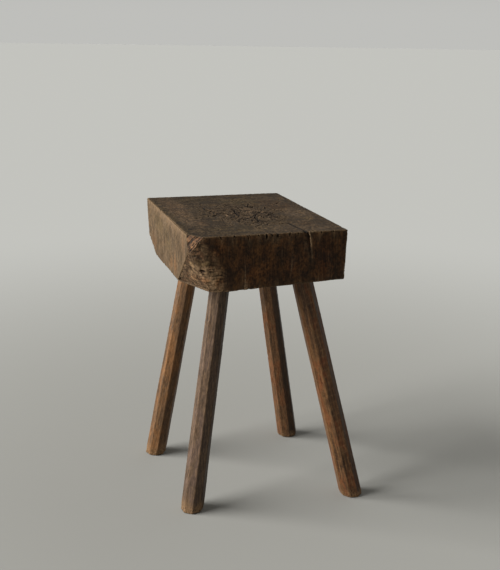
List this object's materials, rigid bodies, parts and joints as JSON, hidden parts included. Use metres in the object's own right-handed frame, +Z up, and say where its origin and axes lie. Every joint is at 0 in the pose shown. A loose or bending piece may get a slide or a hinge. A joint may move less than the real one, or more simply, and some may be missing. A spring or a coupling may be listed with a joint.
{
  "type": "milking stool",
  "caption": "Rustic wooden stool: a thick hewn block seat with one waney corner, on splayed eight-sided legs set into blind sockets.",
  "frame": {"origin": "on the floor, in the middle of the stool's outline seen from above", "axes": "+Z up, +X to the right of a person facing the stool's front, +Y to the back; the seat is longest along Y"},
  "size_m": [0.3909, 0.393, 0.56],
  "materials": {
    "block_wood": "dry, dark, worn and stained",
    "leg_wood": "hand-rubbed reddish brown",
    "wedge_wood": "split, unfinished"
  },
  "bodies": {
    "root": {"seat_block": "block_wood", "leg_back_left": "leg_wood", "leg_front_left": "leg_wood", "leg_back_right": "leg_wood", "leg_front_right": "leg_wood", "wedge_back_left": "wedge_wood", "wedge_front_left": "wedge_wood", "wedge_back_right": "wedge_wood", "wedge_front_right": "wedge_wood"}
  },
  "joints": []
}
